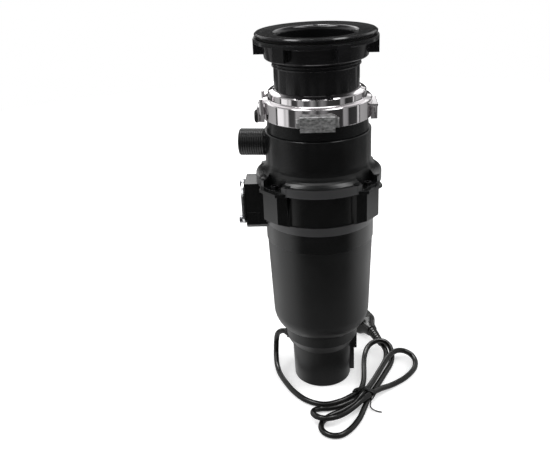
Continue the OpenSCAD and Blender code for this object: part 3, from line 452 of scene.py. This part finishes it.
# The plug's sections before and after its grips, in millimetres: distance along the plug, half
# width, half height, and the power that squares the corners.
PLUG_SHOULDER = (
    (24.4, 7, 7, 2.2), (28, 7.6, 7.5, 2.4), (34, 8.8, 8.6, 2.6), (37.5, 10.6, 10.2, 3),
    (39.5, 12.4, 11.4, 3.6), (41, 13.1, 11.8, 4), (43, 13.3, 11.9, 4.4),
)
PLUG_FACE = (
    (64, 13.4, 11.9, 4.6), (66.6, 13.3, 11.8, 4.6), (67.6, 12.7, 11.2, 4.4), (68, 11.6, 10.2, 4.2),
)
# The finger grips between them: number, start, pitch, the sections' half width, half height and
# power, and one groove as distance along it and depth.
GRIPS, GRIP_START, GRIP_PITCH = 5, 45, 3.2
GRIP_SECTION = (13.4, 11.9, 4.6)
GRIP_GROOVE = ((0, 0), (0.5, 0.6), (1.5, 0.6), (2.0, 0))
# A groove is this many times shallower on the flat faces than on the sides.
GRIP_FLATNESS = 3


def smooth_line(name, points, first=None, last=None):
    """Bezier line through points, with its end directions given."""
    data = bpy.data.curves.new(name, "CURVE")
    data.dimensions = "3D"
    data.resolution_u = CORD_SPAN_STEPS
    spline = data.splines.new("BEZIER")
    spline.bezier_points.add(len(points) - 1)
    for i, (knot, at) in enumerate(zip(spline.bezier_points, points)):
        before, after = points[max(i - 1, 0)], points[min(i + 1, len(points) - 1)]
        run = (after - before).normalized()
        if i == 0 and first is not None:
            run = first.normalized()
        if i == len(points) - 1 and last is not None:
            run = last.normalized()
        knot.co = at
        knot.handle_left = at - run * (at - before).length * HANDLE_REACH
        knot.handle_right = at + run * (after - at).length * HANDLE_REACH
    return data


def bezier_point(a, b, t):
    """Point between two knots, at a share t of the way."""
    return ((1 - t) ** 3 * a.co + 3 * (1 - t) ** 2 * t * a.handle_right
            + 3 * (1 - t) * t * t * b.handle_left + t ** 3 * b.co)


class DISPOSAL_OT_cord(bpy.types.Operator):
    """Lay the mains cord from its relief round its tied bow to the plug"""
    bl_idname = "disposal.cord"
    bl_label = "Power cord"

    def execute(self, context):
        sizes = context.scene.disposal_sizes
        points = [Vector(p) * MM for p in CORD_MM]
        out = Vector((cos(CORD_EXIT_TURN), sin(CORD_EXIT_TURN), 0))
        into = Vector((cos(PLUG_TURN), sin(PLUG_TURN), (PLUG_AXIS_Z - PLUG_TIP.z) / PLUG_NECK))
        data = smooth_line("mains_cord", points, out, into)
        data.bevel_depth = sizes.cord_d / 2
        data.bevel_resolution = CORD_ROUND_STEPS
        data.use_fill_caps = True
        data.splines[0].use_smooth = True
        cord = piece("mains_cord", data, finish_of(cord_jacket), "housing", "cord_jacket", "power_cord")
        return {"FINISHED"}


class DISPOSAL_OT_tie(bpy.types.Operator):
    """Wrap the tie strip round the cord bundle and curl its tail"""
    bl_idname = "disposal.tie"
    bl_label = "Cord tie"

    def execute(self, context):
        sizes = context.scene.disposal_sizes
        strip = finish_of(tie_strip)
        along = Vector((cos(TIE_TURN), sin(TIE_TURN), 0))
        across = Vector((-sin(TIE_TURN), cos(TIE_TURN), 0))
        corners = [(u * MM, v * MM) for u, v in TIE_CORNERS_MM]
        inner = sizes.cord_d / 2 + TIE_SLACK
        outer = inner + sizes.tie_t
        half = sizes.tie_w / 2

        def outline(radius, shift):
            """Ring round the bundle at a radius from its corners, moved along it."""
            ring = []
            for k in range(TIE_SIDES):
                a = 2 * pi * k / TIE_SIDES
                u, v = max(corners, key=lambda c: c[0] * cos(a) + c[1] * sin(a))
                height = max(v + radius * sin(a), (radius - inner) * TIE_FLOOR_SHARE)
                ring.append(TIE_AT + across * (u + radius * cos(a)) + Vector((0, 0, height))
                            + along * shift)
            return ring

        section = [(inner, -half), (outer - TIE_ROUND, -half), (outer, TIE_ROUND - half),
                   (outer, half - TIE_ROUND), (outer - TIE_ROUND, half), (inner, half)]
        rings = [outline(radius, shift) for radius, shift in section]
        band = loft("tie_wrap", rings + rings[:1], closed_ends=False)
        piece("tie_wrap", band, strip, "housing", "tie_plastic", "cord_tie")

        knots = smooth_line("tie_line", [Vector(p) * MM for p in TAIL_MM]).splines[0].bezier_points
        turns = [2 * pi * k / TAIL_SIDES for k in range(TAIL_SIDES)]
        rings = []
        for a, b in zip(knots, knots[1:]):
            run = (b.co - a.co).normalized()
            side = run.cross(Vector((0, 0, 1))).normalized()
            lift = side.cross(run)
            for step in range(TAIL_SPAN_STEPS):
                at = bezier_point(a, b, step / TAIL_SPAN_STEPS)
                rings.append([at + (side * cos(turn) + lift * sin(turn)) * TAIL_R for turn in turns])
        piece("tie_tail", loft("tie_tail", rings), strip, "housing", "tie_plastic")
        return {"FINISHED"}


def rounded_section(along, height, half_w, half_h, power):
    """Ring of a superellipse across the plug's axis, at a distance along it and a height."""
    ring = []
    for k in range(PLUG_SIDES):
        a = 2 * pi * k / PLUG_SIDES
        c, s = cos(a), sin(a)
        u = half_w * copysign(abs(c) ** (2 / power), c)
        v = half_h * copysign(abs(s) ** (2 / power), s)
        ring.append(Vector((along, u, height + v)))
    return ring


def body_section(along, half_w, half_h, power):
    """Ring of the plug's body, all in millimetres."""
    return rounded_section(along * MM, PLUG_AXIS_Z, half_w * MM, half_h * MM, power)


class DISPOSAL_OT_plug(bpy.types.Operator):
    """Mould the three-pin plug with its ribbed strain relief and finger grips"""
    bl_idname = "disposal.plug"
    bl_label = "Plug"

    def execute(self, context):
        ribs = context.scene.disposal_sizes.relief_ribs
        rings = [rounded_section(0, PLUG_TIP.z, RELIEF_TIP_R, RELIEF_TIP_R, ROUND)]
        for i in range(ribs):
            for part, depth in RELIEF_RIB:
                share = (i + part) / ribs
                radius = RELIEF_R + RELIEF_GAIN * share - depth
                height = PLUG_TIP.z + (PLUG_AXIS_Z - PLUG_TIP.z) * share
                rings.append(rounded_section(share * PLUG_NECK, height, radius, radius, ROUND))
        rings += [body_section(*section) for section in PLUG_SHOULDER]
        half_w, half_h, power = GRIP_SECTION
        for i in range(GRIPS):
            for step, depth in GRIP_GROOVE:
                rings.append(body_section(GRIP_START + i * GRIP_PITCH + step, half_w - depth,
                                          half_h - depth / GRIP_FLATNESS, power))
        rings += [body_section(*section) for section in PLUG_FACE]
        mesh = loft("plug_body", rings)
        mesh.transform(Matrix.Translation((PLUG_TIP.x, PLUG_TIP.y, 0))
                       @ Matrix.Rotation(PLUG_TURN, 4, "Z"))
        piece("plug_body", mesh, finish_of(cord_jacket), "housing", "plug_plastic", "cord_plug")
        dress(plug_brass, "plug_blades")
        return {"FINISHED"}


# ---- frame pieces ----

class DISPOSAL_OT_sink_mount(bpy.types.Operator):
    """Finish the sink flange, its nut, washer, gasket and splash guard"""
    bl_idname = "disposal.sink_mount"
    bl_label = "Sink mount"

    def execute(self, context):
        dress(polished_black, "sink_flange", "mounting_nut")
        dress(matt_rubber, "flange_gasket", "splash_guard")
        dress(moulded_black, "slip_washer")
        return {"FINISHED"}


class DISPOSAL_OT_locking_ring(bpy.types.Operator):
    """Plate the locking ring, brush its front bracket and finish the bumper"""
    bl_idname = "disposal.locking_ring"
    bl_label = "Locking ring"

    def execute(self, context):
        dress(plated_chrome, "locking_ring", "ring_bracket_left", "ring_bracket_right",
              "ring_bracket_back")
        dress(brushed_steel, "ring_bracket_front")
        dress(matt_rubber, "ring_bumper")
        return {"FINISHED"}


class DISPOSAL_OT_housings(bpy.types.Operator):
    """Finish the moulded collar, chamber, waste housing, shell and tail"""
    bl_idname = "disposal.housings"
    bl_label = "Black housings"

    def execute(self, context):
        dress(semi_gloss_black, "mounting_collar", "grind_chamber", "waste_housing")
        dress(moulded_black, "motor_shell", "tail_housing", "wiring_cover", "base_cover")
        dress(matt_rubber, "cord_relief", "chamber_seal", "shaft_seal")
        return {"FINISHED"}


class DISPOSAL_OT_discharge(bpy.types.Operator):
    """Finish the discharge plate, its gasket and its screws"""
    bl_idname = "disposal.discharge"
    bl_label = "Discharge outlet"

    def execute(self, context):
        dress(zinc_plate, "discharge_plate")
        dress(matt_rubber, "discharge_gasket")
        dress(screw_zinc, "discharge_screw_low", "discharge_screw_high")
        return {"FINISHED"}


class DISPOSAL_OT_joint_screws(bpy.types.Operator):
    """Finish the four hexagon screws that hold the chamber down"""
    bl_idname = "disposal.joint_screws"
    bl_label = "Joint screws"

    def execute(self, context):
        dress(blackened_screw, "joint_screw_a", "joint_screw_b", "joint_screw_c", "joint_screw_d")
        return {"FINISHED"}


class DISPOSAL_OT_grinder(bpy.types.Operator):
    """Finish the stainless grinding ring, turntable and impellers"""
    bl_idname = "disposal.grinder"
    bl_label = "Grinding parts"

    def execute(self, context):
        dress(stainless_steel, "shredder_ring", "turntable", "turntable_cap", "impeller_a", "impeller_b",
              "impeller_rivet_a", "impeller_rivet_b")
        return {"FINISHED"}


class DISPOSAL_OT_motor(bpy.types.Operator):
    """Finish the motor's shaft, armature, magnets, brushes and brackets"""
    bl_idname = "disposal.motor"
    bl_label = "Motor"

    def execute(self, context):
        dress(stainless_steel, "motor_shaft", "upper_bearing", "lower_bearing")
        dress(cast_alloy, "upper_bracket", "lower_bracket")
        dress(laminated_steel, "armature_core", "motor_frame")
        dress(wound_copper, "armature_winding", "commutator")
        dress(ferrite, "magnet_left", "magnet_right", "carbon_brush_a", "carbon_brush_b")
        dress(phenolic, "brush_holder_a", "brush_holder_b")
        dress(felt, "sound_sleeve")
        return {"FINISHED"}


class DISPOSAL_OT_overload(bpy.types.Operator):
    """Finish the overload protector and its reset button"""
    bl_idname = "disposal.overload"
    bl_label = "Overload reset"

    def execute(self, context):
        dress(reset_red, "overload_protector", "reset_button")
        return {"FINISHED"}


# ---- camera and studio ----

SENSOR_MM = 36
CLIP_START = 0.01


class DISPOSAL_OT_camera(bpy.types.Operator):
    """Stand the camera in front of the disposal, looking slightly down"""
    bl_idname = "disposal.camera"
    bl_label = "Camera"

    def execute(self, context):
        sizes = context.scene.disposal_sizes
        yaw, pitch, roll = sizes.camera_yaw, sizes.camera_pitch, sizes.camera_roll
        ahead = Vector((sin(yaw) * cos(pitch), cos(yaw) * cos(pitch), -sin(pitch)))
        right = Vector((cos(yaw), -sin(yaw), 0))
        up = right.cross(ahead)
        level = cos(roll) * right + sin(roll) * up
        upright = -sin(roll) * right + cos(roll) * up
        data = bpy.data.cameras.new("front_camera")
        data.sensor_width = SENSOR_MM
        data.lens = sizes.camera_lens
        data.clip_start = CLIP_START
        camera = bpy.data.objects.new("front_camera", data)
        facing = Matrix((level, upright, -ahead)).transposed().to_4x4()
        camera.matrix_world = Matrix.Translation((0, -sizes.camera_y, sizes.camera_z)) @ facing
        context.scene.collection.objects.link(camera)
        context.scene.camera = camera
        return {"FINISHED"}


# What the finishes mirror round the studio, as (share of a turn from -X, brightness): the pale
# table close to the part, the table farther out, its far part with the room's bars of light at
# the side, the narrow bars that cross it, the room over it, and the ceiling.
NEAR_RING = ((0.0, 0.9), (0.09, 0.8), (0.17, 0.3), (0.38, 0.3), (0.46, 0.5), (0.6, 0.6),
             (0.68, 0.4), (0.86, 0.4), (0.93, 0.9), (1.0, 0.9))
TABLE_RING = ((0.0, 1.05), (0.07, 1.0), (0.14, 0.06), (0.41, 0.04), (0.49, 0.95), (0.6, 1.0),
              (0.68, 0.4), (0.86, 0.4), (0.93, 1.1), (1.0, 1.05))
SIDE_BARS = ((0.9, 0.1), (0.907, 0.8), (0.92, 0.8), (0.93, 0.2), (1.0, 0.2))
ROOM_FRONT = ((0.0, 0.2), (0.08, 0.16), (0.15, 0.03), (0.4, 0.02), (0.47, 0.08), (0.6, 0.1),
              (0.605, 0.6), (0.615, 0.6), (0.62, 0.1))
ROOM_RING = ROOM_FRONT + ((0.72, 0.04), (0.84, 0.05)) + SIDE_BARS
FAR_TABLE_RING = ROOM_FRONT + ((0.68, 0.4), (0.85, 0.4)) + SIDE_BARS
BAR_RING = ((0.0, 0.02), (0.004, 1.0), (0.045, 0.95), (0.055, 0.5), (0.075, 0.75), (0.085, 0.04),
            (0.12, 0.05), (0.13, 0.35), (0.16, 0.3), (0.17, 0.05), (0.2, 0.1), (0.215, 0.3),
            (0.25, 0.03), (0.28, 0.2), (0.3, 0.15), (0.315, 0.04), (0.395, 0.03), (0.4, 0.3),
            (0.425, 0.25), (0.435, 0.02), (0.495, 0.04), (0.503, 0.9), (0.512, 0.05), (0.525, 0.35),
            (0.59, 0.3), (0.61, 0.03), (0.75, 0.6), (0.9, 0.05), (0.915, 0.35), (0.985, 0.4),
            (0.993, 0.02), (1.0, 0.02))
SKY_RING = ((0.0, 1.0), (0.1, 0.6), (0.2, 0.25), (0.35, 0.25), (0.45, 0.6), (0.55, 0.9),
            (0.69, 1.0), (0.711, 1.4), (0.738, 1.4), (0.742, 0.15), (0.758, 0.15), (0.762, 2.6),
            (0.793, 2.6), (0.82, 1.0), (1.0, 1.0))
# Distances from the part, in metres, over which one part of the table gives way to the next, and
# those over which the narrow bars start and end.
NEAR_EDGE, TABLE_EDGE = (0.17, 0.32), (0.55, 0.78)
BAR_NEAR, BAR_FAR = (1.04, 1.12), (1.44, 1.56)
# How far the room gives way to the bright ceiling, by the sine of the height over the horizon.
ROOM_RISE = ((0.2, 0.0), (0.214, 0.9), (0.235, 0.9), (0.255, 0.3), (0.295, 0.3), (0.335, 1.0))
# The ring lamp overhead and the dimmer ceiling round and inside it, by the same measure.
LAMP_RISE = ((0.0, 1.0), (0.55, 1.0), (0.63, 0.3), (0.85, 0.3), (0.89, 7.0), (0.945, 7.0),
             (0.965, 0.3), (1.0, 0.3))
# The floor's own light as the camera sees it, near the part and far from it, and the distances
# between which it rises.
FLOOR_GLOW, GLOW_RISE = (0.42, 1.0), (0.2, 0.8)
FLOOR_CORNERS = 64
WHITE = (1, 1, 1, 1)
AMBIENT_LIGHT = 0.5
# Soft panels: place, width and height in metres, and watts. All face PANEL_AIM.
PANEL_AIM = Vector((0, 0, 0.2))
SOFT_PANELS = {
    "left_panel": ((-1.1, -0.1, 0.45), (0.5, 0.9), 9),
    "right_panel": ((1.1, 0.1, 0.45), (0.5, 0.9), 9),
    "top_panel": ((0, -0.2, 1.4), (0.8, 0.8), 8),
}


def ramped(tree, place, levels):
    """Brightness by a place between 0 and 1."""
    ramp = add(tree, "ShaderNodeValToRGB", {"Fac": place})
    stops = ramp.color_ramp.elements
    # New stops start in the middle, and all are then moved to their places.
    while len(stops) < len(levels):
        stops.new(0.5)
    for stop, (at, level) in zip(stops, levels):
        stop.position = at
        stop.color = (level, level, level, 1)
    return ramp.outputs["Color"]


def studio_ring(tree, vector, levels):
    """Brightness by direction round the part."""
    turn = add(tree, "ShaderNodeTexGradient", {"Vector": vector}, gradient_type="RADIAL")
    return ramped(tree, turn.outputs["Fac"], levels)


def glossy_ray(tree):
    """1 for rays that a finish mirrors."""
    return add(tree, "ShaderNodeLightPath").outputs["Is Glossy Ray"]


def direct_ray(tree):
    """1 for rays from the camera, straight or through a clear piece."""
    path = add(tree, "ShaderNodeLightPath")
    return add(tree, "ShaderNodeMath", {0: path.outputs["Is Camera Ray"],
                                        1: path.outputs["Is Transmission Ray"]},
               operation="MAXIMUM").outputs["Value"]


def soft_panel(name, place, size, watts):
    """Area lamp that lights the part and doesn't show in its reflections."""
    data = bpy.data.lights.new(name, "AREA")
    data.shape = "RECTANGLE"
    data.size, data.size_y = size
    data.energy = watts
    lamp = bpy.data.objects.new(name, data)
    lamp.location = place
    lamp.rotation_euler = (PANEL_AIM - Vector(place)).to_track_quat("-Z", "Y").to_euler()
    lamp.visible_glossy = False
    bpy.context.scene.collection.objects.link(lamp)


def table_mirrored(tree, place, away):
    """What the finishes mirror of the table, by place on it and distance from the part."""
    table = mixed(tree, spread(tree, away, 0, 1, *NEAR_EDGE),
                  studio_ring(tree, place, NEAR_RING), studio_ring(tree, place, TABLE_RING))
    table = mixed(tree, spread(tree, away, 0, 1, *TABLE_EDGE),
                  table, studio_ring(tree, place, FAR_TABLE_RING))
    barred = times(tree, spread(tree, away, 0, 1, *BAR_NEAR), spread(tree, away, 1, 0, *BAR_FAR))
    return mixed(tree, barred, table, studio_ring(tree, place, BAR_RING))


def floor_material(base):
    """Pale floor that keeps its shadow, and a table with bars of light in the reflections."""
    material = bpy.data.materials.new("studio_floor")
    material.use_nodes = True
    tree = material.node_tree
    tree.nodes.clear()
    place = add(tree, "ShaderNodeTexCoord").outputs["Object"]
    away = add(tree, "ShaderNodeVectorMath", {0: place}, operation="LENGTH").outputs["Value"]
    lit = add(tree, "ShaderNodeBsdfDiffuse", values={"Color": (*base, 1)})
    glow = times(tree, direct_ray(tree), spread(tree, away, *FLOOR_GLOW, *GLOW_RISE))
    own = add(tree, "ShaderNodeEmission", {"Strength": glow})
    plain = add(tree, "ShaderNodeAddShader", {0: lit.outputs[0], 1: own.outputs[0]})
    mirrored = add(tree, "ShaderNodeEmission", {"Color": table_mirrored(tree, place, away)})
    both = add(tree, "ShaderNodeMixShader",
               {0: glossy_ray(tree), 1: plain.outputs[0], 2: mirrored.outputs[0]})
    add(tree, "ShaderNodeOutputMaterial", {"Surface": both.outputs[0]})
    return material


def studio_world():
    """White to the camera, an even light on the part, and a room with a ceiling in reflections."""
    world = bpy.data.worlds.new("studio")
    world.use_nodes = True
    tree = world.node_tree
    tree.nodes.clear()
    around = add(tree, "ShaderNodeTexCoord").outputs["Generated"]
    rise = add(tree, "ShaderNodeSeparateXYZ", {"Vector": around}).outputs["Z"]
    room = mixed(tree, ramped(tree, rise, ROOM_RISE),
                 studio_ring(tree, around, ROOM_RING), studio_ring(tree, around, SKY_RING))
    ambient = add(tree, "ShaderNodeBackground", values={"Color": WHITE, "Strength": AMBIENT_LIGHT})
    panels = add(tree, "ShaderNodeBackground",
                 {"Color": room, "Strength": ramped(tree, rise, LAMP_RISE)})
    white = add(tree, "ShaderNodeBackground", values={"Color": WHITE, "Strength": 1})
    inner = add(tree, "ShaderNodeMixShader",
                {0: glossy_ray(tree), 1: ambient.outputs[0], 2: panels.outputs[0]})
    outer = add(tree, "ShaderNodeMixShader",
                {0: direct_ray(tree), 1: inner.outputs[0], 2: white.outputs[0]})
    add(tree, "ShaderNodeOutputWorld", {"Surface": outer.outputs[0]})
    return world


class DISPOSAL_OT_studio(bpy.types.Operator):
    """Set the pale floor, white surroundings and soft panels"""
    bl_idname = "disposal.studio"
    bl_label = "Studio"

    def execute(self, context):
        scene = context.scene
        radius = scene.disposal_sizes.floor_r
        turns = [2 * pi * k / FLOOR_CORNERS for k in range(FLOOR_CORNERS)]
        mesh = bpy.data.meshes.new("studio_floor")
        mesh.from_pydata([(radius * cos(turn), radius * sin(turn), 0) for turn in turns],
                         [], [tuple(range(FLOOR_CORNERS))])
        mesh.materials.append(floor_material(scene.disposal_colours.stage))
        floor = bpy.data.objects.new("studio_floor", mesh)
        scene.collection.objects.link(floor)

        scene.world = studio_world()
        for name, (place, size, watts) in SOFT_PANELS.items():
            soft_panel(name, place, size, watts)
        scene.view_settings.view_transform = "Standard"
        return {"FINISHED"}


# ---- add-on ----

STEPS = (
    DISPOSAL_OT_camera, DISPOSAL_OT_plug, DISPOSAL_OT_tie, DISPOSAL_OT_cord, DISPOSAL_OT_sink_mount,
    DISPOSAL_OT_locking_ring, DISPOSAL_OT_housings, DISPOSAL_OT_discharge, DISPOSAL_OT_joint_screws,
    DISPOSAL_OT_grinder, DISPOSAL_OT_motor, DISPOSAL_OT_overload, DISPOSAL_OT_studio,
)


class DISPOSAL_PT_panel(bpy.types.Panel):
    """Sidebar panel with the disposal's steps, sizes and colours"""
    bl_idname = "DISPOSAL_PT_panel"
    bl_label = "Garbage Disposal"
    bl_space_type = "VIEW_3D"
    bl_region_type = "UI"
    bl_category = "Disposal"

    def draw(self, context):
        for step in STEPS:
            self.layout.operator(step.bl_idname)
        for group in (context.scene.disposal_sizes, context.scene.disposal_colours):
            box = self.layout.box()
            for key in group.__annotations__:
                box.prop(group, key)


CLASSES = (DisposalColours, DisposalSizes, *STEPS, DISPOSAL_PT_panel)


def register():
    for cls in CLASSES:
        bpy.utils.register_class(cls)
    bpy.types.Scene.disposal_colours = bpy.props.PointerProperty(type=DisposalColours)
    bpy.types.Scene.disposal_sizes = bpy.props.PointerProperty(type=DisposalSizes)


def unregister():
    del bpy.types.Scene.disposal_sizes
    del bpy.types.Scene.disposal_colours
    for cls in reversed(CLASSES):
        bpy.utils.unregister_class(cls)


def main():
    register()
    for step in STEPS:
        group, name = step.bl_idname.split(".")
        if getattr(getattr(bpy.ops, group), name)() != {"FINISHED"}:
            raise RuntimeError(f"{step.bl_label} did not finish")


if __name__ == "__main__":
    main()
